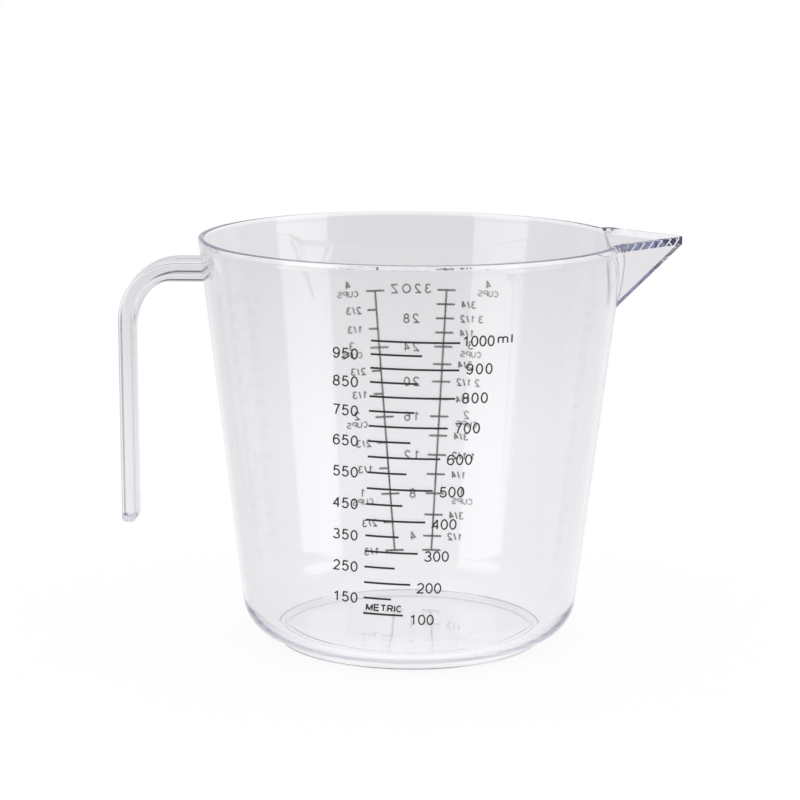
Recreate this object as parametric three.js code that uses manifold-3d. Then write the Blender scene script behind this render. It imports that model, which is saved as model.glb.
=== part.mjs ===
// One litre measuring cup in clear plastic: a tapered cup with a V spout, a hook handle and printed scales.
// Millimetres, +Z up, standing on z = 0. The spout points along +X, the handle hangs at -X, the metric scale
// faces -Y and the cups scale faces +Y.
import * as THREE from 'three';
import { ConvexGeometry } from 'three/addons/geometries/ConvexGeometry.js';
import { mergeVertices } from 'three/addons/utils/BufferGeometryUtils.js';
import Module from 'manifold-3d';

const wasm = await Module();
wasm.setup();

const degree = Math.PI / 180;

// Cup body
const cupHeight = 129.5;
const rimRadius = 67.2;
const baseRadius = 51.8; // the outside of the wall carried on down to the table
const wallThickness = 1.8;
const floorThickness = 2.4;
const cornerRadius = 11; // outside, between floor and wall
const footWidth = 2.4;
const footHeight = 2.2;
const rimBandHeight = 3.4;
const rimRounding = 0.5;

// Pouring spout
const spoutProjection = 18; // of the tip beyond the rim
const spoutHalfAngle = 45 * degree; // each plate to the pouring direction, seen from above
const ridgeSlope = 45 * degree;
const spoutLipHeight = 1.9; // below the rim
const spoutRise = 0.7; // of its lip above the rim
const spoutThickness = 1.7;

// Hook handle
const handleProjection = 25; // of the outer face beyond the rim
const handleWidth = 16;
const armDrop = 7.6; // from the rim down to the top of the arm
const strapThickness = 4.35;
const gripLean = 0.5 * degree; // the grip hangs in towards the cup
const handleBendRadius = 18.7;
const gripEndHeight = 38.1;
const gripEndRounding = 1.5;
const handleEdgeRounding = 0.9;

// Rib along the inside of the handle
const ribWidth = 8;
const ribArmDepth = 2.5;
const ribGripDepth = 0.55;
const ribBendReach = 11.1; // along the arm
const ribBendDrop = 17.5; // down the grip
const ribEdgeRounding = 0.5;
const ribBurial = 0.2; // of its outer side and end in the strap

// Ink of both scales
const inkThickness = 0.2;
const strokeWidth = 0.6;
const printMidHeight = 60;
const printHeadroom = 10; // bare wall kept under the rim band

// Metric scale: 50 ml steps, even at first and then closer as the cup widens
const firstMillilitres = 100;
const millilitreStep = 50;
const fullMillilitres = 1000;
const metricTilt = 1.5 * degree; // the print leans a little clockwise
const firstLineHeight = 20.7;
const linePitch = 5;
const evenSteps = 9;
const pitchSqueeze = 0.052;
const metricMargin = 13; // from the middle of the print to the left end of every line
const longLine = 12.2;
const longLineGrowth = 1.9; // each next hundred
const longestLine = 26.4;
const shortLine = 8.4;
const shortLineGrowth = 0.85;

// Cups scale: two ladders that lean together downwards
const cupHeights = [5.4, 34.3, 60.4, 83.9, 103]; // of none to four cups
const lowestCup = 1 / 3;
const lowestQuarterCup = 1 / 2;
const cupsTilt = 1 * degree; // also clockwise, as read
const cupsTurn = 0.5 * degree; // about the cup's axis, away from the metric scale's opposite side
const ladderSpreadTop = 12.4;
const ladderSpreadBottom = 6.4;
const tickReach = 3.2; // to each side of a ladder's upright

// Clearances
const seatGap = 0.3; // between pieces cut to one another
const inkGap = 0.1; // between ink and wall

// Facets
const roundSegments = 72;
const arcDivisions = 3;
const edgeDivisions = 1; // of small roundings
const bendDivisions = 12; // of the handle's bend

// Derived sizes
const taper = (rimRadius - baseRadius) / cupHeight;
const wallAngle = Math.atan(taper);
const wallRadius = (z) => baseRadius + taper * z;
const insideRadius = (z) => wallRadius(z) - wallThickness / Math.cos(wallAngle);
const bandBottom = cupHeight - rimBandHeight;
const floorTop = footHeight + floorThickness;
const seamHeight = floorTop + cornerRadius; // where the wall stands on the dished floor
const spoutReach = rimRadius + spoutProjection;
const handleReach = rimRadius + handleProjection;
const inkStep = Math.sqrt(4 * baseRadius * inkGap); // chords this long still clear the wall by half the gap
const cutMargin = 5; // how far a cutting shape reaches past what it cuts

// Materials
const clearPlastic = new THREE.MeshStandardMaterial({
  color: 0xe6e8f2,
  roughness: 0.05,
  metalness: 0,
  transparent: true,
  opacity: 0.35,
});
const blackInk = new THREE.MeshStandardMaterial({ color: 0x17171a, roughness: 0.6, metalness: 0 });

const cup = new THREE.Group();

function addPiece(parent, name, geometry, material) {
  const mesh = new THREE.Mesh(geometry, material);
  mesh.name = name;
  parent.add(mesh);
}

// Solids for joining and cutting
function solid(geometry) {
  const bare = geometry.clone();
  bare.deleteAttribute('normal');
  bare.deleteAttribute('uv');
  const merged = mergeVertices(bare);
  const vertProperties = new Float32Array(merged.attributes.position.array);
  const corners = merged.index.array;
  const triVerts = [];
  for (let i = 0; i < corners.length; i += 3) {
    const [a, b, c] = corners.slice(i, i + 3);
    if (a !== b && b !== c && c !== a) triVerts.push(a, b, c);
  }
  const mesh = new wasm.Mesh({ numProp: 3, vertProperties, triVerts: new Uint32Array(triVerts) });
  return new wasm.Manifold(mesh);
}

function geometryOf(body) {
  const { vertProperties, triVerts } = body.getMesh();
  const geometry = new THREE.BufferGeometry();
  geometry.setAttribute('position', new THREE.BufferAttribute(vertProperties, 3));
  geometry.setIndex(new THREE.BufferAttribute(triVerts, 1));
  geometry.computeVertexNormals();
  return geometry;
}

// Turns a profile of radius and height round the cup's axis
function revolve(profile, divisions = arcDivisions) {
  const lathe = new THREE.LatheGeometry(profile.getPoints(divisions), roundSegments);
  return lathe.rotateX(Math.PI / 2);
}

// Centre of the arc that rounds a floor at the given height into one face of the wall
function cornerCentre(faceRadius, floorHeight, radius) {
  const z = floorHeight + radius;
  return { r: faceRadius(z) - radius / Math.cos(wallAngle), z };
}

// Solid of everything inside one face of the wall, from below the table to above the rim
function coreSolid(faceRadius, offset) {
  const bottom = -cutMargin;
  const top = cupHeight + cutMargin;
  const profile = new THREE.Path();
  profile.moveTo(0, bottom);
  profile.lineTo(faceRadius(bottom) + offset, bottom);
  profile.lineTo(faceRadius(top) + offset, top);
  profile.lineTo(0, top);
  return solid(revolve(profile));
}

// Convex wedge of the spout, grown outwards by an offset and topped at the given height
const platePlanFactor = Math.hypot(1, 1 / Math.tan(spoutHalfAngle));
const plateFactor = Math.hypot(platePlanFactor, 1 / Math.tan(ridgeSlope));

function spoutWedge(offset, top) {
  const tip = spoutReach + offset * platePlanFactor;
  const lipDrop = spoutLipHeight + offset * (plateFactor - platePlanFactor) * Math.tan(ridgeSlope);
  const lipBottom = cupHeight - lipDrop;
  const back = insideRadius(cupHeight) * Math.cos(spoutHalfAngle);
  const halfWidth = (tip - back) * Math.tan(spoutHalfAngle);
  const depth = (tip - back) * Math.tan(ridgeSlope);
  const points = [new THREE.Vector3(back, 0, lipBottom - depth)];
  for (const z of [lipBottom, top]) {
    points.push(new THREE.Vector3(tip, 0, z));
    points.push(new THREE.Vector3(back, halfWidth, z));
    points.push(new THREE.Vector3(back, -halfWidth, z));
  }
  return solid(new ConvexGeometry(points));
}

const spoutNotch = spoutWedge(seatGap, cupHeight + cutMargin);

// Side wall, notched where the spout opens it
function makeWall() {
  const profile = new THREE.Path();
  profile.moveTo(insideRadius(seamHeight), seamHeight);
  profile.lineTo(wallRadius(seamHeight), seamHeight);
  profile.lineTo(wallRadius(bandBottom), bandBottom);
  profile.lineTo(insideRadius(bandBottom), bandBottom);
  profile.closePath();
  return geometryOf(solid(revolve(profile)).subtract(spoutNotch));
}

// Dished floor: a disc that turns up into the wall
function makeFloor() {
  const insideCorner = cornerRadius - wallThickness;
  const outer = cornerCentre(wallRadius, footHeight, cornerRadius);
  const inner = cornerCentre(insideRadius, floorTop, insideCorner);
  const profile = new THREE.Path();
  profile.moveTo(0, footHeight);
  profile.lineTo(outer.r, footHeight);
  profile.absarc(outer.r, outer.z, cornerRadius, -Math.PI / 2, -wallAngle, false);
  profile.lineTo(wallRadius(seamHeight), seamHeight);
  profile.lineTo(insideRadius(seamHeight), seamHeight);
  profile.absarc(inner.r, inner.z, insideCorner, -wallAngle, -Math.PI / 2, true);
  profile.lineTo(0, floorTop);
  return revolve(profile);
}

// Ring round the edge of the floor's flat underside
function makeFootRing() {
  const footRadius = cornerCentre(wallRadius, footHeight, cornerRadius).r;
  const profile = new THREE.Path();
  profile.moveTo(footRadius - footWidth, 0);
  profile.lineTo(footRadius, 0);
  profile.lineTo(footRadius, footHeight);
  profile.lineTo(footRadius - footWidth, footHeight);
  profile.closePath();
  return revolve(profile);
}

// Upright collar round the mouth; the taper of the wall leaves it a small step proud
function makeRimBand() {
  const insideTop = insideRadius(cupHeight);
  const roundingHeight = cupHeight - rimRounding;
  const profile = new THREE.Path();
  profile.moveTo(insideRadius(bandBottom), bandBottom);
  profile.lineTo(rimRadius, bandBottom);
  profile.absarc(rimRadius - rimRounding, roundingHeight, rimRounding, 0, Math.PI / 2, false);
  profile.absarc(insideTop + rimRounding, roundingHeight, rimRounding, Math.PI / 2, Math.PI, false);
  profile.closePath();
  return geometryOf(solid(revolve(profile, edgeDivisions)).subtract(spoutNotch));
}

// V trough that fills the notch: plates of even thickness, open towards the inside of the cup
function makeSpout() {
  const outside = spoutWedge(0, cupHeight + spoutRise);
  const hollow = spoutWedge(-spoutThickness, cupHeight + cutMargin);
  return geometryOf(outside.subtract(hollow).subtract(coreSolid(insideRadius, 0)));
}

// Side view of a hook, its outer side inset from the handle's outer face and its inner side bent in an ellipse
function hookOutline(inset, armDepth, gripDepth, bendReach, bendDrop) {
  const armTop = cupHeight - armDrop;
  const armBottom = armTop - armDepth;
  const bendX = handleBendRadius - handleReach;
  const bendZ = armTop - handleBendRadius;
  const innerBendZ = armBottom - bendDrop;
  const outerRadius = handleBendRadius - inset;
  const outerFace = (z) => (bendZ - z) * Math.tan(gripLean) - handleReach;
  const roundingZ = gripEndHeight + inset + gripEndRounding;
  const outerRoundingX = outerFace(roundingZ) + inset + gripEndRounding;
  const innerRoundingX = outerFace(roundingZ) + gripDepth - gripEndRounding;
  const innerBendX = outerFace(innerBendZ) + gripDepth + bendReach;
  const root = -insideRadius(armBottom);
  const outline = new THREE.Shape();
  outline.moveTo(root, armTop - inset);
  outline.absarc(bendX, bendZ, outerRadius, Math.PI / 2, Math.PI, false);
  outline.absarc(outerRoundingX, roundingZ, gripEndRounding, Math.PI, Math.PI * 1.5, false);
  outline.absarc(innerRoundingX, roundingZ, gripEndRounding, Math.PI * 1.5, Math.PI * 2, false);
  outline.absellipse(innerBendX, innerBendZ, bendReach, bendDrop, Math.PI, Math.PI / 2, true);
  outline.lineTo(root, armBottom);
  return outline;
}

// Bar of a side view, with rounded edges
function roundedBar(outline, width, rounding) {
  const bar = new THREE.ExtrudeGeometry(outline, {
    depth: width - 2 * rounding,
    bevelThickness: rounding,
    bevelSize: rounding,
    bevelOffset: -rounding,
    bevelSegments: 2 * edgeDivisions,
    curveSegments: bendDivisions,
  });
  bar.rotateX(Math.PI / 2);
  bar.translate(0, width / 2 - rounding, 0);
  return solid(bar);
}

// Hook of a strap with a narrower rib along its inside, deepest under the arm and running out down the grip
function makeHandle() {
  const innerRadius = handleBendRadius - strapThickness;
  const ribArm = strapThickness + ribArmDepth;
  const ribGrip = strapThickness + ribGripDepth;
  const strapOutline = hookOutline(0, strapThickness, strapThickness, innerRadius, innerRadius);
  const ribOutline = hookOutline(ribBurial, ribArm, ribGrip, ribBendReach, ribBendDrop);
  const strap = roundedBar(strapOutline, handleWidth, handleEdgeRounding);
  const rib = roundedBar(ribOutline, ribWidth, ribEdgeRounding);
  return geometryOf(strap.add(rib).subtract(coreSolid(wallRadius, seatGap)));
}

// Lays a flat stroke on the outside of the front wall. The stroke lies across X and Z, its thickness along Y.
function wrapOnWall(stroke, tilt) {
  const position = stroke.attributes.position;
  for (let i = 0; i < position.count; i += 1) {
    const flatX = position.getX(i);
    const flatZ = position.getZ(i) - printMidHeight;
    const across = flatX * Math.cos(tilt) + flatZ * Math.sin(tilt);
    const z = printMidHeight + flatZ * Math.cos(tilt) - flatX * Math.sin(tilt);
    const angle = across / wallRadius(z);
    const out = wallRadius(z) + inkGap + inkThickness / 2 - position.getY(i);
    position.setXYZ(i, out * Math.sin(angle), -out * Math.cos(angle), z);
  }
  return stroke;
}

function inkLine(left, right, z, tilt) {
  const length = right - left;
  const line = new THREE.BoxGeometry(length, inkThickness, strokeWidth, Math.ceil(length / inkStep), 1, 1);
  line.translate((left + right) / 2, 0, z);
  return wrapOnWall(line, tilt);
}

const printTop = bandBottom - printHeadroom;

function metricLineHeight(millilitres) {
  const step = (millilitres - firstMillilitres) / millilitreStep;
  return firstLineHeight + linePitch * step - pitchSqueeze * Math.max(0, step - evenSteps) ** 2;
}

function metricLineLength(millilitres) {
  const hundreds = Math.floor(millilitres / 100) - 1;
  if (millilitres % 100 === 0) return Math.min(longestLine, longLine + longLineGrowth * hundreds);
  return shortLine + shortLineGrowth * hundreds;
}

function addMetricScale() {
  for (let volume = firstMillilitres; volume <= fullMillilitres; volume += millilitreStep) {
    const z = metricLineHeight(volume);
    if (z > printTop) break;
    const line = inkLine(-metricMargin, metricLineLength(volume) - metricMargin, z, metricTilt);
    addPiece(cup, `metric_line_${volume}`, line, blackInk);
  }
}

// Height of a number of cups, evenly divided between whole cups
function cupsHeight(cups) {
  const whole = Math.min(Math.floor(cups), cupHeights.length - 2);
  return THREE.MathUtils.lerp(cupHeights[whole], cupHeights[whole + 1], cups - whole);
}

function ladderX(z) {
  const bottom = cupsHeight(lowestCup);
  const top = cupHeights[cupHeights.length - 1];
  return THREE.MathUtils.mapLinear(z, bottom, top, ladderSpreadBottom, ladderSpreadTop);
}

// One upright with its ticks, as read from behind the cup; side is 1 on the right and -1 on the left. All
// ticks reach outwards. Whole cups and the ladder's foot also cross the upright, fractions by an inner reach.
function makeLadder(side, firstMark, marksPerCup, fractionInnerReach) {
  const bottom = cupsHeight(lowestCup);
  const ticks = [{ z: bottom, innerReach: tickReach }];
  for (let mark = firstMark; mark <= marksPerCup * (cupHeights.length - 1); mark += 1) {
    const z = cupsHeight(mark / marksPerCup);
    const innerReach = mark % marksPerCup === 0 ? tickReach : fractionInnerReach;
    if (z > bottom && z <= printTop) ticks.push({ z, innerReach });
  }
  const top = ticks[ticks.length - 1].z;
  const length = top - bottom;
  const upright = new THREE.BoxGeometry(strokeWidth, inkThickness, length, 1, 1, Math.ceil(length / inkStep));
  upright.translate(0, 0, (top + bottom) / 2);
  const position = upright.attributes.position;
  for (let i = 0; i < position.count; i += 1) {
    position.setX(i, position.getX(i) + side * ladderX(position.getZ(i)));
  }
  let ladder = solid(wrapOnWall(upright, cupsTilt));
  for (const { z, innerReach } of ticks) {
    const inner = side * (ladderX(z) - innerReach);
    const outer = side * (ladderX(z) + tickReach);
    const tick = inkLine(Math.min(inner, outer), Math.max(inner, outer), z, cupsTilt);
    ladder = ladder.add(solid(tick));
  }
  return geometryOf(ladder);
}

function addCupsScale() {
  const back = new THREE.Group();
  back.rotation.z = Math.PI - cupsTurn;
  addPiece(back, 'cups_thirds_ladder', makeLadder(1, lowestCup * 3, 3, 0), blackInk);
  addPiece(back, 'cups_quarters_ladder', makeLadder(-1, lowestQuarterCup * 4, 4, tickReach), blackInk);
  cup.add(back);
}

addPiece(cup, 'cup_wall', makeWall(), clearPlastic);
addPiece(cup, 'cup_floor', makeFloor(), clearPlastic);
addPiece(cup, 'foot_ring', makeFootRing(), clearPlastic);
addPiece(cup, 'rim_band', makeRimBand(), clearPlastic);
addPiece(cup, 'pouring_spout', makeSpout(), clearPlastic);
addPiece(cup, 'handle', makeHandle(), clearPlastic);
addMetricScale();
addCupsScale();

// The origin lies on the table, midway between handle and spout tip
cup.position.x = (handleReach - spoutReach) / 2;

export default cup;
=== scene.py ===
import math

import bmesh
import bpy
from mathutils import Matrix, Vector


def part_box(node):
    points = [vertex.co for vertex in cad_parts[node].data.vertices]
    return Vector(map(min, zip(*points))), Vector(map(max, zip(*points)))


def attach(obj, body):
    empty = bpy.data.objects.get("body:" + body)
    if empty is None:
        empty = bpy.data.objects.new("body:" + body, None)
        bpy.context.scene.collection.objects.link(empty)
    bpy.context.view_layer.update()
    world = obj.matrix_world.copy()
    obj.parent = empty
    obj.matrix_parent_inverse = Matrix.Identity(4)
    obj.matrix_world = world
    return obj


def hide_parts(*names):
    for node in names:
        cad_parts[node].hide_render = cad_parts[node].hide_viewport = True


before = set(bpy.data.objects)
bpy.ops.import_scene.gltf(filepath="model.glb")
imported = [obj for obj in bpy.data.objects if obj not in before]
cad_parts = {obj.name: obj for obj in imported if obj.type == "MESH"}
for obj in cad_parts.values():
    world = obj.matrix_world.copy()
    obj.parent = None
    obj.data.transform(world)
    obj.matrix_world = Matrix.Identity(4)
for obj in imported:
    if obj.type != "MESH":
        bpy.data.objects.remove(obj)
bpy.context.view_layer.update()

MM = 0.001
moulding_nodes = ["cup_wall", "cup_floor", "foot_ring", "rim_band", "pouring_spout", "handle"]
ink_nodes = [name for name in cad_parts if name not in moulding_nodes]

# Sizes read from the CAD solids
floor_low, floor_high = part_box("cup_floor")
rim_low, rim_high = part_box("rim_band")
spout_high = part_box("pouring_spout")[1]
handle_low, handle_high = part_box("handle")
axis_x = (floor_low.x + floor_high.x) / 2
cup_height = rim_high.z
rim_radius = (rim_high.y - rim_low.y) / 2
foot_height = floor_low.z
foot_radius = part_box("foot_ring")[1].y
spout_reach = spout_high.x - axis_x
spout_rise = spout_high.z - cup_height  # of its lip above the rim
handle_reach = axis_x - handle_low.x
handle_width = handle_high.y - handle_low.y
arm_top = handle_high.z
grip_end = handle_low.z

# Cup body
base_radius = 51.8 * MM  # the outside of the wall carried on down to the table
wall_thickness = 1.8 * MM
floor_thickness = 2.4 * MM
corner_radius = 12 * MM
foot_width = 2.4 * MM
foot_rounding = 0.4 * MM
rim_rounding = 0.4 * MM
rim_lean = 6  # degrees by which the rim's top falls outwards
band_upright = 1.2 * MM  # height of the rim band's upright part
band_blend = 2 * MM  # height over which the band runs out into the wall below it

# Pouring spout
spout_lip_height = 1.9 * MM  # below the rim
spout_rise_half_angle = math.radians(3)  # the rim rises to the lip this far to each side of the root
spout_thickness = 1.7 * MM
spout_fillet = 2.3 * MM  # how far wall and plate are apart where their outside blend starts
ridge_fillet = 0.6 * MM
ridge_half_angle = math.radians(15)  # the ridge's blend gives way to the wall's over this angle
inner_root_rounding = 0.25 * MM

# Hook handle
strap_thickness = 4.35 * MM
grip_lean = math.radians(0.5)  # the grip hangs in towards the cup
bend_radius = 18.7 * MM
grip_end_rounding = 1.5 * MM
handle_edge_rounding = 0.9 * MM

# Rib along the inside of the handle
rib_width = 8 * MM
rib_arm_depth = 2.5 * MM
rib_grip_depth = 0.55 * MM
rib_bend_reach = 11.1 * MM  # along the arm
rib_bend_drop = 17.5 * MM  # down the grip
rib_edge_rounding = 0.5 * MM
rib_burial = 0.2 * MM  # of its outer side and end in the strap

# Ink of both scales
ink_thickness = 0.2 * MM
ink_gap = 0.1 * MM
stroke_width = 0.6 * MM  # of the lines
number_pen = 0.42 * MM  # width of the strokes of numbers and of the heading
word_pen = 0.32 * MM  # of the cups scale's words
print_mid_height = 60 * MM
metric_tilt = math.radians(1.5)
cups_tilt = math.radians(1)
cups_turn = math.radians(0.5)

# Letters, as shares of their height
digit_width = 0.66
capital_width = 0.82
wide_capital_width = 0.95
unit_width = 1.2
slash_width = 0.4
word_space = 0.15
close_gap = 0.1  # between letters
even_gap = 0.17
wide_gap = 0.27
open_gap = 0.35
loose_gap = 0.42
middle = 0.5  # place in a label, from 0 on its left to 1 on its right

# Numbers of the metric scale
long_line_step = 100  # millilitres from one long line to the next
metric_number_height = 3.4 * MM
unit_height = 2.9 * MM
left_number_gap = 1.7 * MM  # beside the lowest line; the numbers stand straighter than the lines' ends
left_gap_growth = 0.025
left_number_drop = 0.35 * MM
right_number_gap = 2 * MM
highest_number_gap = 0.6 * MM
lowest_number_drop = 1.2 * MM  # beside the lowest long line
number_rise = 1.75 * MM  # from there to the highest long line
unit_rise = 0.5 * MM
heading_height = 2.25 * MM
heading_inset = 0.9 * MM
heading_lift = 2.1 * MM

# Labels of the cups scale
cup_heights = [5.4 * MM, 34.3 * MM, 60.4 * MM, 83.9 * MM, 103 * MM]  # of none to four cups
lowest_cup = 1 / 3  # where both ladders end
ladder_spread_top = 12.4 * MM
ladder_spread_bottom = 6.4 * MM
tick_reach = 3.2 * MM
fraction_gap = 2.2 * MM
whole_gap = 2.8 * MM
fraction_height = 2.6 * MM
whole_height = 2.9 * MM
whole_lift = 0.8 * MM  # a whole number stands above its tick and the word under it
cups_word_height = 2.1 * MM
cups_word_drop = 2.3 * MM
top_label_rise = 1.5 * MM
ounce_unit_rise = 0.5 * MM
top_label_shift = 5.2 * MM  # keeps the highest label clear of the fraction under it
ounce_height = 3.2 * MM
ounces_per_cup = 8

# Meshes
arc_step = 6  # degrees
letter_arc_step = 15
spout_rows = 44
plain_rows = 8
band_rows = 8
spout_margin = 8 * MM  # finer rows reach this far below the spout
plate_columns = 16
root_columns = 14
root_blend_share = 0.04
round_columns = 120
narrowest_root = math.radians(0.5)
weld_distance = 0.0001 * MM
sharp_angle = math.radians(24)

# Surfaces
white = (1, 1, 1, 1)
plastic_tint = (0.56, 0.61, 0.79, 1)
plastic_tint_density = 6
plastic_refraction = 1.57
plastic_roughness = (0.015, 0.05)
plastic_wave_scale = 60
plastic_wave_height = 0.004 * MM
gloss_scale = 90
thin_ink = (0.03, 0.03, 0.034, 1)
full_ink = (0.008, 0.008, 0.01, 1)
ink_roughness = (0.4, 0.6)
ink_grain_scale = 2500
ink_grain_height = 0.02 * MM

# Camera, from a fit of the rim, the base and the wall's edges
camera_place = Vector((axis_x, -0.88088, 0.24452))
camera_elevation = math.radians(10.770)
camera_azimuth = math.radians(-0.219)
camera_roll = math.radians(0.384)
camera_lens = 126.66  # millimetres, as the sensor
camera_sensor = 36
camera_near = 0.01

# Studio
floor_reach = 4
floor_glow = 0.93  # share of the floor's white that no shadow takes away
near_table_light = (1, 0.98, 1, 1)  # what clear plastic shows of the table, the walls and the ceiling
far_table_light = (0.925, 0.91, 0.935, 1)
wall_light = (0.79, 0.775, 0.795, 1)
ceiling_light = (0.74, 0.73, 0.78, 1)
near_table = -0.6  # heights of a direction, from -1 straight down to 1 straight up
far_table = -0.2
wall_foot = -0.14
ceiling_edge = 0.3
ceiling_full = 0.8
camera_side = (0, -0.8, 0.6)  # the way towards the dark half of the room, behind the camera
camera_side_edge = 0.35  # how far a direction goes that way where the dark begins and where it is full
camera_side_full = 0.7
camera_side_light = 0.15  # share of light that is left there
side_edge = 0.3  # how far a direction goes to a side where that side's shade begins
left_light = 0.45  # shares of light left at the two sides
right_light = 0.8
softbox_width = 0.75
softbox_height = 0.9
softbox_distance = 1.2
softbox_foot = -0.08  # height of its lower edge, under the table's level
softbox_angles = [math.radians(68.5), math.radians(-54.5)]  # to the right and left of the front
softbox_power = 2.4

light_bounces = 600  # light runs a long way inside the wall

# Derived sizes
taper = (rim_radius - base_radius) / cup_height
wall_angle = math.atan(taper)
band_bottom = cup_height - band_upright - band_blend
floor_top = foot_height + floor_thickness
lip_bottom = cup_height - spout_lip_height
lip_shift = math.sqrt(3) - math.sqrt(2)  # rise of the lip's lower edge for each depth inwards


def wall_radius(z):
    return base_radius + taper * z


def soft_step(share):
    """0 below a share of 0 and 1 above a share of 1, with a smooth rise between them."""
    share = min(max(share, 0), 1)
    return share * share * (3 - 2 * share)


def band_radius(z):
    """Outside of the wall where it runs out into the upright rim band."""
    return wall_radius(z) + (rim_radius - wall_radius(z)) * soft_step((z - band_bottom) / band_blend)


def spread(low, high, count):
    return [low + (high - low) * i / (count - 1) for i in range(count)]


def arc(centre_x, centre_y, radius_x, radius_y, start, end, step=arc_step):
    """Points of an arc between two angles in degrees."""
    count = math.ceil(abs(end - start) / step) + 1
    turns = [math.radians(angle) for angle in spread(start, end, count)]
    return [(centre_x + radius_x * math.cos(turn), centre_y + radius_y * math.sin(turn)) for turn in turns]


def smooth_max(a, b, width):
    """The larger of two values, blended where they differ by less than a width."""
    share = max(width - abs(a - b), 0) / width
    return max(a, b) + share * share * width / 4


# The spout is a wedge with a plan angle of 90 degrees and a ridge that falls at 45 degrees. A depth is
# measured inwards from its outside.
def wedge_reach(z, depth):
    """How far the wedge's ridge is from the cup's axis at a height. Only the outside has an upright lip."""
    tip = spout_reach - depth * math.sqrt(2)
    rise = z - lip_bottom - depth * lip_shift
    return tip + min(rise, rise * depth / spout_thickness)


def wedge_radius(angle, z, depth):
    return wedge_reach(z, depth) / (math.cos(angle) + abs(math.sin(angle)))


def root_angle(radius, z, depth):
    """Half the angle over which the wedge stands out of a round wall, never quite zero."""
    reach = wedge_reach(z, depth)
    if reach <= radius:
        return narrowest_root
    return max(math.pi / 4 - math.acos(min(reach / math.sqrt(2) / radius, 1)), narrowest_root)


# Cup: a closed profile of rows turned round the axis, with the spout pressed out of the rows it reaches
def corner_rows(face_offset, floor_height, radius, depth, clear_of=0):
    """Rows up the corner from the floor into one face of the wall, outside a radius to stay clear of."""
    centre_z = floor_height + radius
    centre_r = wall_radius(centre_z) - face_offset - radius / math.cos(wall_angle)
    start = -math.degrees(math.acos(max(clear_of - centre_r, 0) / radius))
    points = arc(centre_r, centre_z, radius, radius, start, -math.degrees(wall_angle))
    return [(z, r, depth) for r, z in points]


def foot_rows():
    inner_radius = foot_radius - foot_width
    inner = arc(inner_radius + foot_rounding, foot_rounding, foot_rounding, foot_rounding, 180, 270)
    outer = arc(foot_radius - foot_rounding, foot_rounding, foot_rounding, foot_rounding, 270, 360)
    rows = [(foot_height, inner_radius / 2, 0), (foot_height, inner_radius, 0)]
    return rows + [(z, r, 0) for r, z in inner + outer]


def rim_rows(face):
    """Rows of the rim band, from the wall up the outside and over the rounded top."""
    inner_z = cup_height - rim_rounding
    outer_z = inner_z - (face - 2 * rim_rounding) * math.tan(math.radians(rim_lean))
    heights = spread(band_bottom, lip_bottom, band_rows) + spread(lip_bottom, outer_z, band_rows)[1:-1]
    rows = [(z, band_radius(z), 0) for z in heights]
    over = arc(rim_radius - rim_rounding, outer_z, rim_rounding, rim_rounding, 0, 90 - rim_lean)
    over += arc(rim_radius - face + rim_rounding, inner_z, rim_rounding, rim_rounding, 90 - rim_lean, 180)
    return rows + [(z, r, (rim_radius - r) / face * spout_thickness) for r, z in over]


def cup_rows():
    """Height, radius and spout depth of each row, from under the floor up the outside, then down inside."""
    face = wall_thickness / math.cos(wall_angle)
    spout_foot = lip_bottom - (spout_reach - rim_radius) - spout_margin
    inner_lip = lip_bottom + spout_thickness * lip_shift
    outer_corner = corner_rows(0, foot_height, corner_radius, 0, foot_radius)
    inner_corner = corner_rows(face, floor_top, corner_radius - wall_thickness, spout_thickness)
    outer_heights = spread(outer_corner[-1][0], spout_foot, plain_rows)[1:]
    outer_heights += spread(spout_foot, band_bottom, spout_rows)[1:-1]
    inner_heights = spread(inner_lip, spout_foot, spout_rows)
    inner_heights += spread(spout_foot, inner_corner[-1][0], plain_rows)[1:-1]
    rows = foot_rows() + outer_corner
    rows += [(z, wall_radius(z), 0) for z in outer_heights]
    rows += rim_rows(face)
    rows += [(z, wall_radius(z) - face, spout_thickness) for z in inner_heights]
    rows += reversed(inner_corner)
    rows.append((floor_top, (foot_radius - foot_width) / 2, spout_thickness))
    return rows


def row_angles(root):
    """Angles of one row's points, gathered on the spout's two roots."""
    angles = [root * (1 - (1 - share) ** 2) for share in spread(0, 1, plate_columns)]
    blend_end = root + (math.pi - root) * root_blend_share
    angles += spread(root, blend_end, root_columns)[1:]
    angles += spread(blend_end, math.pi, round_columns)[1:]
    return angles + [2 * math.pi - angle for angle in reversed(angles[1:-1])]


def blend_width(off_ridge, depth):
    """How far wall and plate are apart where their blend starts, outside the cup and inside it."""
    share = min(off_ridge / ridge_half_angle, 1)
    outside = ridge_fillet + (spout_fillet - ridge_fillet) * share
    return outside + (inner_root_rounding - outside) * depth / spout_thickness


def lip_rise(off_ridge, root, z):
    """How far the spout lifts a point of the rim: up the lip, and in a soft step beside the root."""
    up = min(max((z - lip_bottom) / spout_lip_height, 0), 1)
    beside = off_ridge - root + spout_rise_half_angle
    return spout_rise * up * (1 - soft_step(beside / (2 * spout_rise_half_angle)))


def join_rings(mesh, rings):
    """Faces between neighbouring rings of as many points each."""
    for lower, upper in zip(rings, rings[1:]):
        for i in range(len(lower)):
            mesh.faces.new((lower[i - 1], lower[i], upper[i], upper[i - 1]))


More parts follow.
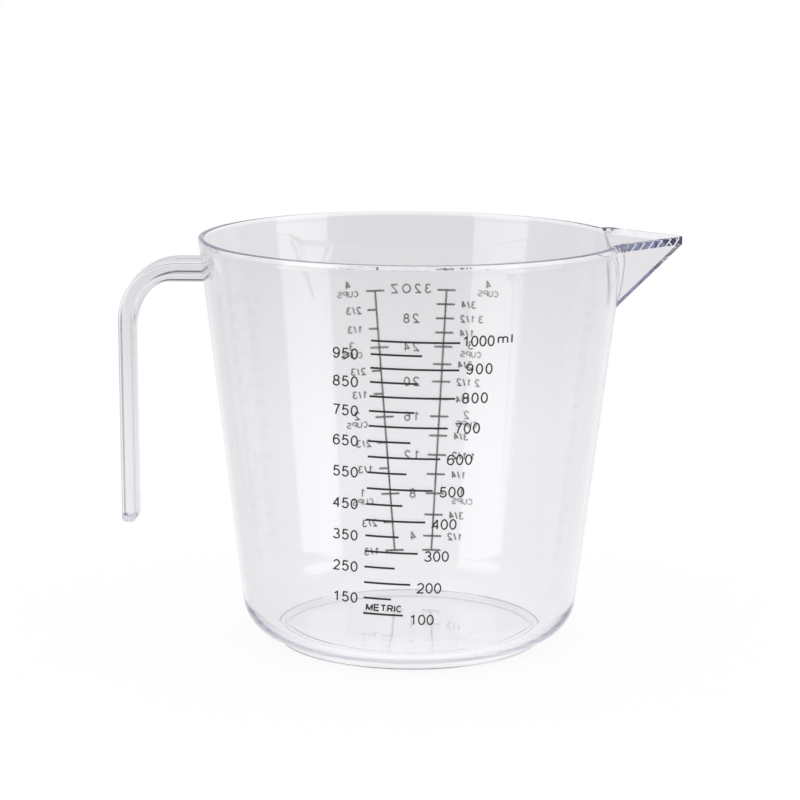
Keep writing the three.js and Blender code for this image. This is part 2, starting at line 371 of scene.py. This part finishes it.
def make_cup():
    mesh = bmesh.new()
    rings = []
    for z, radius, depth in cup_rows():
        ring = []
        root = root_angle(radius, z, depth)
        for angle in row_angles(root):
            off_ridge = min(angle, 2 * math.pi - angle)
            height = z + lip_rise(off_ridge, root, z)
            r = radius
            if off_ridge < math.pi / 4:
                r = smooth_max(radius, wedge_radius(angle, height, depth), blend_width(off_ridge, depth))
            ring.append(mesh.verts.new((axis_x + r * math.cos(angle), r * math.sin(angle), height)))
        rings.append(ring)
    join_rings(mesh, rings)
    for ring, z in ((rings[0], foot_height), (rings[-1], floor_top)):
        centre = mesh.verts.new((axis_x, 0, z))
        for i in range(len(ring)):
            mesh.faces.new((centre, ring[i - 1], ring[i]))
    bmesh.ops.remove_doubles(mesh, verts=mesh.verts, dist=weld_distance)
    bmesh.ops.recalc_face_normals(mesh, faces=mesh.faces)
    return as_object(mesh, "clear_cup")


def as_object(mesh, name):
    data = bpy.data.meshes.new(name)
    mesh.to_mesh(data)
    mesh.free()
    obj = bpy.data.objects.new(name, data)
    bpy.context.scene.collection.objects.link(obj)
    return obj


# Handle: the hook's side outline, drawn in towards both sides to round the edges
def hook_outline(burial, arm_depth, grip_depth, bend_reach, bend_drop, inset):
    """Side view of a hook, drawn in by an inset, its outer side buried under the handle's outer face."""
    bend_x = axis_x - handle_reach + bend_radius
    bend_z = arm_top - bend_radius
    arm_bottom = arm_top - arm_depth
    inner_bend_z = arm_bottom - bend_drop
    outer_radius = bend_radius - burial - inset
    end_z = grip_end + burial + grip_end_rounding
    end_rounding = grip_end_rounding - inset
    root = axis_x - wall_radius(arm_bottom) + wall_thickness / 2

    def outer_face(z):
        return axis_x - handle_reach + (bend_z - z) * math.tan(grip_lean)

    points = [(root, arm_top - burial - inset)]
    points += arc(bend_x, bend_z, outer_radius, outer_radius, 90, 180)
    outer_end_x = outer_face(end_z) + burial + grip_end_rounding
    points += arc(outer_end_x, end_z, end_rounding, end_rounding, 180, 270)
    inner_end_x = outer_face(end_z) + grip_depth - grip_end_rounding
    points += arc(inner_end_x, end_z, end_rounding, end_rounding, 270, 360)
    inner_bend_x = outer_face(inner_bend_z) + grip_depth + bend_reach
    points += arc(inner_bend_x, inner_bend_z, bend_reach + inset, bend_drop + inset, 180, 90)
    points.append((root, arm_bottom + inset))
    return points


def make_hook(name, width, rounding, *shape):
    """A bar of a hook's side view with rounded edges, drawn as rings from front to back."""
    front_rounding = arc(rounding, rounding - width / 2, rounding, rounding, 270, 180)
    layers = front_rounding + [(inset, -y) for inset, y in reversed(front_rounding)]
    mesh = bmesh.new()
    rings = []
    for inset, y in layers:
        rings.append([mesh.verts.new((x, y, z)) for x, z in hook_outline(*shape, inset)])
    join_rings(mesh, rings)
    mesh.faces.new(reversed(rings[0]))
    mesh.faces.new(rings[-1])
    bmesh.ops.recalc_face_normals(mesh, faces=mesh.faces)
    return as_object(mesh, name)


def make_strap():
    inner_radius = bend_radius - strap_thickness
    return make_hook("strap", handle_width, handle_edge_rounding,
                     0, strap_thickness, strap_thickness, inner_radius, inner_radius)


def make_rib():
    return make_hook("rib", rib_width, rib_edge_rounding, rib_burial, strap_thickness + rib_arm_depth,
                     strap_thickness + rib_grip_depth, rib_bend_reach, rib_bend_drop)


def join_clear(cup, *bars):
    """Makes cup and handle one clear solid with smooth faces and sharp edges."""
    for bar in bars:
        union = cup.modifiers.new(bar.name, "BOOLEAN")
        union.operation = "UNION"
        union.solver = "EXACT"
        union.object = bar
    graph = bpy.context.evaluated_depsgraph_get()
    joined = bpy.data.meshes.new_from_object(cup.evaluated_get(graph))
    cup.modifiers.clear()
    cup.data = joined
    for bar in bars:
        bpy.data.objects.remove(bar)
    mesh = bmesh.new()
    mesh.from_mesh(joined)
    for face in mesh.faces:
        face.smooth = True
    for edge in mesh.edges:
        edge.smooth = edge.calc_face_angle(0) < sharp_angle
    mesh.to_mesh(joined)
    mesh.free()
    weighted = cup.modifiers.new("even_normals", "WEIGHTED_NORMAL")
    weighted.keep_sharp = True


# Materials
def node_material(name):
    material = bpy.data.materials.new(name)
    material.use_nodes = True
    tree = material.node_tree
    return material, tree, tree.nodes["Principled BSDF"]


def noise(tree, scale, low, high):
    """Noise over the object's own coordinates, given a range of values."""
    place = tree.nodes.new("ShaderNodeTexCoord")
    texture = tree.nodes.new("ShaderNodeTexNoise")
    texture.inputs["Scale"].default_value = scale
    tree.links.new(place.outputs["Object"], texture.inputs["Vector"])
    reach = tree.nodes.new("ShaderNodeMapRange")
    reach.inputs["To Min"].default_value = low
    reach.inputs["To Max"].default_value = high
    tree.links.new(texture.outputs["Fac"], reach.inputs["Value"])
    return reach.outputs["Result"]


def rough_and_bumped(tree, shader, roughness, bump_scale, bump_height):
    """Uneven gloss and a faintly uneven surface."""
    tree.links.new(noise(tree, gloss_scale, *roughness), shader.inputs["Roughness"])
    bump = tree.nodes.new("ShaderNodeBump")
    bump.inputs["Distance"].default_value = bump_height
    tree.links.new(noise(tree, bump_scale, 0, 1), bump.inputs["Height"])
    tree.links.new(bump.outputs["Normal"], shader.inputs["Normal"])


def clear_plastic():
    material, tree, shader = node_material("clear_plastic")
    shader.inputs["Base Color"].default_value = white
    shader.inputs["IOR"].default_value = plastic_refraction
    shader.inputs["Transmission Weight"].default_value = 1
    rough_and_bumped(tree, shader, plastic_roughness, plastic_wave_scale, plastic_wave_height)
    tint = tree.nodes.new("ShaderNodeVolumeAbsorption")
    tint.inputs["Color"].default_value = plastic_tint
    tint.inputs["Density"].default_value = plastic_tint_density
    output = tree.nodes["Material Output"]
    tree.links.new(tint.outputs["Volume"], output.inputs["Volume"])
    return material


def black_ink():
    material, tree, shader = node_material("black_ink")
    shade = tree.nodes.new("ShaderNodeValToRGB")
    thin, full = shade.color_ramp.elements
    thin.color = thin_ink
    full.color = full_ink
    tree.links.new(noise(tree, ink_grain_scale, 0, 1), shade.inputs["Fac"])
    tree.links.new(shade.outputs["Color"], shader.inputs["Base Color"])
    rough_and_bumped(tree, shader, ink_roughness, ink_grain_scale, ink_grain_height)
    return material


# Print: flat lettering laid on the wall. Flat places are across and up, as the print is read.
def on_wall(x, z, out, behind):
    """Point of a flat place on the wall, a little out from it, in front or behind."""
    tilt = cups_tilt if behind else metric_tilt
    turn = math.pi - cups_turn if behind else 0
    rise = z - print_mid_height
    across = x * math.cos(tilt) + rise * math.sin(tilt)
    height = print_mid_height + rise * math.cos(tilt) - x * math.sin(tilt)
    radius = wall_radius(height)
    angle = across / radius + turn
    reach = radius + ink_gap + ink_thickness / 2 + out
    return Vector((axis_x + reach * math.sin(angle), -reach * math.cos(angle), height))


def flat_place(point):
    """Flat place of a point on the front wall."""
    rise = point.z - print_mid_height
    radius = wall_radius(point.z)
    across = radius * math.asin((point.x - axis_x) / radius)
    x = across * math.cos(metric_tilt) - rise * math.sin(metric_tilt)
    z = print_mid_height + rise * math.cos(metric_tilt) + across * math.sin(metric_tilt)
    return x, z


# Letters: strokes of an even pen, in a square that is stretched to each letter's width and height
def bow(centre_x, centre_y, radius_x, radius_y, start, end):
    return arc(centre_x, centre_y, radius_x, radius_y, start, end, letter_arc_step)


def loop(centre_x, centre_y, radius_x, radius_y):
    """A closed bow, which ends on its own first point."""
    points = bow(centre_x, centre_y, radius_x, radius_y, 90, 450)
    return points[:-1] + points[:1]


def hump(centre_x):
    """One bow of an m with its right leg."""
    return bow(centre_x, 0.47, 0.25, 0.25, 180, 0) + [(centre_x + 0.25, 0)]


def letter_strokes(letter):
    """Strokes of a letter, its left and foot at 0 and its right and top at 1."""
    bowl = [(0, 1)] + bow(0.6, 0.74, 0.4, 0.26, 90, -90) + [(0, 0.48)]
    strokes = {
        "0": [loop(0.5, 0.5, 0.5, 0.5)],
        "1": [[(0.15, 0.72), (0.6, 0.97)], [(0.6, 1), (0.6, 0)]],
        "2": [bow(0.5, 0.71, 0.48, 0.29, 165, -40) + [(0, 0), (1, 0)]],
        "3": [bow(0.46, 0.76, 0.44, 0.24, 155, -90), bow(0.46, 0.26, 0.54, 0.26, 90, -160)],
        "4": [[(0.76, 0), (0.76, 1)], [(0.76, 1), (0, 0.29), (1, 0.29)]],
        "5": [[(0.92, 1), (0.2, 1), (0.08, 0.47)], bow(0.48, 0.32, 0.52, 0.32, 145, -155)],
        "6": [loop(0.5, 0.31, 0.5, 0.31), bow(0.54, 0.5, 0.54, 0.5, 40, 180) + [(0, 0.31)]],
        "7": [[(0, 1), (1, 1), (0.6, 0.5), (0.4, 0)]],
        "8": [loop(0.5, 0.76, 0.43, 0.24), loop(0.5, 0.26, 0.5, 0.26)],
        "9": [loop(0.5, 0.69, 0.5, 0.31), bow(0.46, 0.5, 0.54, 0.5, -140, 0) + [(1, 0.69)]],
        "/": [[(0, 0), (1, 1)]],
        "C": [bow(0.5, 0.5, 0.5, 0.5, 45, 315)],
        "E": [[(1, 1), (0, 1), (0, 0), (1, 0)], [(0, 0.52), (0.92, 0.52)]],
        "I": [[(0.5, 1), (0.5, 0)]],
        "M": [[(0, 0), (0, 1)], [(0, 1), (0.5, 0)], [(0.5, 0), (1, 1)], [(1, 1), (1, 0)]],
        "O": [loop(0.5, 0.5, 0.5, 0.5)],
        "P": [[(0, 0), (0, 1)], bowl],
        "R": [[(0, 0), (0, 1)], bowl, [(0.55, 0.48), (1, 0)]],
        "S": [bow(0.5, 0.75, 0.47, 0.25, 30, 270), bow(0.5, 0.25, 0.5, 0.25, 90, -150)],
        "T": [[(0, 1), (1, 1)], [(0.5, 1), (0.5, 0)]],
        "U": [[(0, 1)] + bow(0.5, 0.36, 0.5, 0.36, 180, 360) + [(1, 1)]],
        "Z": [[(0, 1), (1, 1)], [(1, 1), (0, 0)], [(0, 0), (1, 0)]],
        "l": [[(0.5, 1), (0.5, 0)]],
        "m": [[(0, 0.72), (0, 0)], hump(0.25), hump(0.75)],
    }
    return strokes[letter]


def letter_width(letter, pen):
    if letter.isdigit():
        return digit_width
    if letter in "Il":
        return pen
    if letter in "MO":
        return wide_capital_width
    if letter == "m":
        return unit_width
    return slash_width if letter == "/" else capital_width


def pen_sides(points, pen):
    """Points along both sides of a stroke, mitred where it turns."""
    closed = points[0] == points[-1]
    spots = [Vector(point) for point in points]
    ways = [(end - start).normalized() for start, end in zip(spots, spots[1:])]
    coming_ways = [ways[-1] if closed else ways[0]] + ways
    going_ways = ways + [ways[0] if closed else ways[-1]]
    sides = []
    for spot, coming, going in zip(spots, coming_ways, going_ways):
        across = (coming + going).normalized().orthogonal()
        across *= pen / 2 / across.dot(coming.orthogonal())
        sides.append((spot + across, spot - across))
    return sides


class Print:
    """One piece of lettering made of several labels on the front wall or behind."""

    def __init__(self, name, behind=False):
        self.name = name
        self.behind = behind
        self.mesh = bmesh.new()

    def add(self, text, height, x, z, anchor, gap=even_gap, pen_width=number_pen):
        """Adds a label with its middle at z and its anchor, 0 left to 1 right, at x. Returns its ends."""
        pen = pen_width / height
        widths = [word_space if letter == " " else letter_width(letter, pen) for letter in text]
        whole = height * (sum(widths) + gap * (len(text) - 1))
        start = x - whole * anchor
        place = start
        for letter, width in zip(text, widths):
            if letter != " ":
                for stroke in letter_strokes(letter):
                    self.draw(stroke, pen, width, height, place, z - height / 2)
            place += height * (width + gap)
        return start, start + whole

    def draw(self, stroke, pen, width, height, x, z):
        """Adds one stroke of a letter whose lower left corner is at x, z."""
        points = [(pen / 2 + u * (width - pen), pen / 2 + v * (1 - pen)) for u, v in stroke]
        rings = []
        for left, right in pen_sides(points, pen):
            corners = ((left, -1), (left, 1), (right, 1), (right, -1))
            ring = []
            for flat, way in corners:
                out = way * ink_thickness / 2
                spot = on_wall(x + height * flat.x, z + height * flat.y, out, self.behind)
                ring.append(self.mesh.verts.new(spot))
            rings.append(ring)
        if stroke[0] == stroke[-1]:
            for vertex in rings.pop():
                self.mesh.verts.remove(vertex)
            rings.append(rings[0])
        else:
            self.mesh.faces.new(rings[0])
            self.mesh.faces.new(reversed(rings[-1]))
        join_rings(self.mesh, rings)

    def finish(self, material):
        bmesh.ops.recalc_face_normals(self.mesh, faces=self.mesh.faces)
        obj = as_object(self.mesh, self.name)
        obj.data.materials.append(material)
        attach(obj, "root")


def print_metric_numbers(material):
    """Fifties stand to the left of their lines and hundreds to the right."""
    numbers = Print("metric_numbers")
    measures = sorted(int(name.split("_")[-1]) for name in ink_nodes if name.startswith("metric_line_"))
    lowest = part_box(f"metric_line_{measures[0]}")[0].z
    for measure in measures:
        low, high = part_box(f"metric_line_{measure}")
        if measure % long_line_step:
            x, z = flat_place(Vector((low.x, 0, high.z - stroke_width / 2)))
            x -= left_number_gap + left_gap_growth * (z - lowest)
            numbers.add(str(measure), metric_number_height, x, z - left_number_drop, 1)
        else:
            x, z = flat_place(Vector((high.x, 0, low.z + stroke_width / 2)))
            share = (measure - measures[0]) / (measures[-1] - measures[0])
            z += number_rise * share - lowest_number_drop
            x += right_number_gap if share < 1 else highest_number_gap
            gap = close_gap + (wide_gap - close_gap) * share ** 2 if share < 1 else close_gap
            end = numbers.add(str(measure), metric_number_height, x, z, 0, gap)[1]
    numbers.add("ml", unit_height, end + open_gap * unit_height, z + unit_rise, 0, open_gap)
    numbers.finish(material)


def print_metric_heading(material):
    heading = Print("metric_heading")
    low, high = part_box("metric_line_100")
    x, z = flat_place(Vector((low.x, 0, high.z - stroke_width / 2)))
    heading.add("METRIC", heading_height, x + heading_inset, z + heading_lift, 0, close_gap)
    heading.finish(material)


def cups_height(cups):
    whole = min(int(cups), len(cup_heights) - 2)
    return cup_heights[whole] + (cup_heights[whole + 1] - cup_heights[whole]) * (cups - whole)


def ladder_x(z):
    lowest = cups_height(lowest_cup)
    share = (z - lowest) / (cup_heights[-1] - lowest)
    return ladder_spread_bottom + (ladder_spread_top - ladder_spread_bottom) * share


def print_cups_labels(name, side, first, fractions, top_shift, material):
    """Labels outside one ladder, read from behind; side is 1 on the right and -1 on the left."""
    labels = Print(name, behind=True)
    anchor = 0 if side > 0 else 1
    parts = len(fractions)
    last = parts * (len(cup_heights) - 1)
    for mark in range(first, last + 1):
        z = cups_height(mark / parts)
        tick_end = ladder_x(z) + tick_reach
        whole = mark // parts
        fraction = fractions[mark % parts]
        if fraction:
            text = f"{whole} {fraction}" if whole and fraction == "1/2" else fraction
            labels.add(text, fraction_height, side * (tick_end + fraction_gap), z, anchor)
            continue
        x = side * (tick_end + whole_gap)
        if mark == last:
            z += top_label_rise
            x += top_shift
        word_z = z - cups_word_drop
        left, right = labels.add("CUPS", cups_word_height, x, word_z, anchor, close_gap, word_pen)
        labels.add(str(whole), whole_height, (left + right) / 2, z + whole_lift, middle)
    labels.finish(material)


def print_ounces(material):
    ounces = Print("ounce_numbers", behind=True)
    most = ounces_per_cup * (len(cup_heights) - 1)
    for measure in range(ounces_per_cup // 2, most, ounces_per_cup // 2):
        ounces.add(str(measure), ounce_height, 0, cups_height(measure / ounces_per_cup), middle, open_gap)
    ounces.add(f"{most}OZ", ounce_height, 0, cup_heights[-1] + ounce_unit_rise, middle, loose_gap)
    ounces.finish(material)


cup = make_cup()
join_clear(cup, make_strap(), make_rib())
cup.data.materials.clear()
cup.data.materials.append(clear_plastic())
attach(cup, "root")
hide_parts(*moulding_nodes)

ink = black_ink()
for name in ink_nodes:
    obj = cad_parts[name]
    obj.data.materials.clear()
    obj.data.materials.append(ink)
print_metric_numbers(ink)
print_metric_heading(ink)
print_cups_labels("cups_thirds_labels", 1, 1, ["", "1/3", "2/3"], 0, ink)
print_cups_labels("cups_quarters_labels", -1, 2, ["", "1/4", "1/2", "3/4"], -top_label_shift, ink)
print_ounces(ink)


# Studio
def make_floor():
    mesh = bmesh.new()
    bmesh.ops.create_grid(mesh, x_segments=1, y_segments=1, size=floor_reach)
    floor = as_object(mesh, "studio_floor")
    material, tree, shader = node_material("white_floor")
    tree.nodes.remove(shader)
    paper = tree.nodes.new("ShaderNodeBsdfDiffuse")
    paper.inputs["Color"].default_value = white
    glow = tree.nodes.new("ShaderNodeEmission")
    glow.inputs["Color"].default_value = white
    mix = tree.nodes.new("ShaderNodeMixShader")
    mix.inputs["Fac"].default_value = floor_glow
    tree.links.new(paper.outputs["BSDF"], mix.inputs[1])
    tree.links.new(glow.outputs["Emission"], mix.inputs[2])
    tree.links.new(mix.outputs["Shader"], tree.nodes["Material Output"].inputs["Surface"])
    floor.data.materials.append(material)
    floor.visible_transmission = False
    floor.visible_glossy = False


def maths(tree, operation, *values):
    """Output of a math node on values that are numbers or other nodes' outputs."""
    node = tree.nodes.new("ShaderNodeMath")
    node.operation = operation
    for socket, value in zip(node.inputs, values):
        if isinstance(value, (int, float)):
            socket.default_value = value
        else:
            tree.links.new(value, socket)
    return node.outputs["Value"]


def colours_along(tree, value, stops):
    """Colours that change with a value between -1 and 1, which the ramp holds as 0 to 1."""
    ramp = tree.nodes.new("ShaderNodeValToRGB")
    marks = ramp.color_ramp.elements
    while len(marks) < len(stops):
        marks.new(1)
    for mark, (place, colour) in zip(marks, stops):
        mark.position = (place + 1) / 2
        mark.color = colour
    tree.links.new(maths(tree, "MULTIPLY_ADD", value, 1 / 2, 1 / 2), ramp.inputs["Fac"])
    return ramp.outputs["Color"]


def grey(level):
    return level, level, level, 1


def camera_side_shade(tree, direction):
    """Share of light left in a direction, less towards the dark half of the room behind the camera."""
    facing = tree.nodes.new("ShaderNodeVectorMath")
    facing.operation = "DOT_PRODUCT"
    facing.inputs[1].default_value = camera_side
    tree.links.new(direction, facing.inputs[0])
    share = tree.nodes.new("ShaderNodeMapRange")
    share.inputs["From Min"].default_value = camera_side_edge
    share.inputs["From Max"].default_value = camera_side_full
    share.inputs["To Min"].default_value = 1
    share.inputs["To Max"].default_value = camera_side_light
    tree.links.new(facing.outputs["Value"], share.inputs["Value"])
    return share.outputs["Result"]


def room_light(tree):
    """Light by direction: a bright table, grey walls and ceiling, dimmer sides, dark behind the camera."""
    direction = tree.nodes.new("ShaderNodeTexCoord").outputs["Generated"]
    parts = tree.nodes.new("ShaderNodeSeparateXYZ")
    tree.links.new(direction, parts.inputs["Vector"])
    heights = [(near_table, near_table_light), (far_table, far_table_light), (wall_foot, wall_light)]
    heights += [(ceiling_edge, wall_light), (ceiling_full, ceiling_light)]
    sides = [(-1, grey(left_light)), (-side_edge, white), (side_edge, white), (1, grey(right_light))]
    light = colours_along(tree, parts.outputs["Z"], heights)
    for shade in (colours_along(tree, parts.outputs["X"], sides), camera_side_shade(tree, direction)):
        shaded = tree.nodes.new("ShaderNodeVectorMath")
        shaded.operation = "MULTIPLY"
        tree.links.new(light, shaded.inputs[0])
        tree.links.new(shade, shaded.inputs[1])
        light = shaded.outputs["Vector"]
    return light


def make_world():
    """White all round, but clear plastic shows and mirrors the room instead."""
    world = bpy.data.worlds.new("studio")
    bpy.context.scene.world = world
    world.use_nodes = True
    tree = world.node_tree
    plain = tree.nodes["Background"]
    plain.inputs["Color"].default_value = white
    plain.inputs["Strength"].default_value = 1
    room = tree.nodes.new("ShaderNodeBackground")
    tree.links.new(room_light(tree), room.inputs["Color"])
    path = tree.nodes.new("ShaderNodeLightPath")
    bent = maths(tree, "MAXIMUM", path.outputs["Is Glossy Ray"], path.outputs["Is Transmission Ray"])
    choice = tree.nodes.new("ShaderNodeMixShader")
    tree.links.new(bent, choice.inputs["Fac"])
    tree.links.new(plain.outputs["Background"], choice.inputs[1])
    tree.links.new(room.outputs["Background"], choice.inputs[2])
    tree.links.new(choice.outputs["Shader"], tree.nodes["World Output"].inputs["Surface"])


def make_softboxes():
    for angle in softbox_angles:
        data = bpy.data.lights.new("softbox", "AREA")
        data.shape = "RECTANGLE"
        data.size = softbox_width
        data.size_y = softbox_height
        data.energy = softbox_power
        lamp = bpy.data.objects.new("softbox", data)
        bpy.context.scene.collection.objects.link(lamp)
        outwards = Vector((math.sin(angle), -math.cos(angle), 0))
        lamp.location = outwards * softbox_distance + Vector((axis_x, 0, softbox_foot + softbox_height / 2))
        lamp.rotation_euler = (-outwards).to_track_quat("-Z", "Y").to_euler()


def make_camera():
    data = bpy.data.cameras.new("camera")
    data.lens = camera_lens
    data.sensor_width = camera_sensor
    data.sensor_fit = "HORIZONTAL"
    data.clip_start = camera_near
    camera = bpy.data.objects.new("camera", data)
    bpy.context.scene.collection.objects.link(camera)
    level = math.cos(camera_elevation)
    ahead = level * math.cos(camera_azimuth)
    forward = Vector((level * math.sin(camera_azimuth), ahead, -math.sin(camera_elevation)))
    turned = forward.to_track_quat("-Z", "Y").to_matrix().to_4x4() @ Matrix.Rotation(camera_roll, 4, "Z")
    camera.matrix_world = Matrix.Translation(camera_place) @ turned
    bpy.context.scene.camera = camera


make_floor()
make_world()
make_softboxes()
make_camera()
bpy.context.scene.cycles.max_bounces = light_bounces
bpy.context.scene.cycles.glossy_bounces = light_bounces
bpy.context.scene.cycles.transmission_bounces = light_bounces
bpy.context.scene.view_settings.view_transform = "Standard"
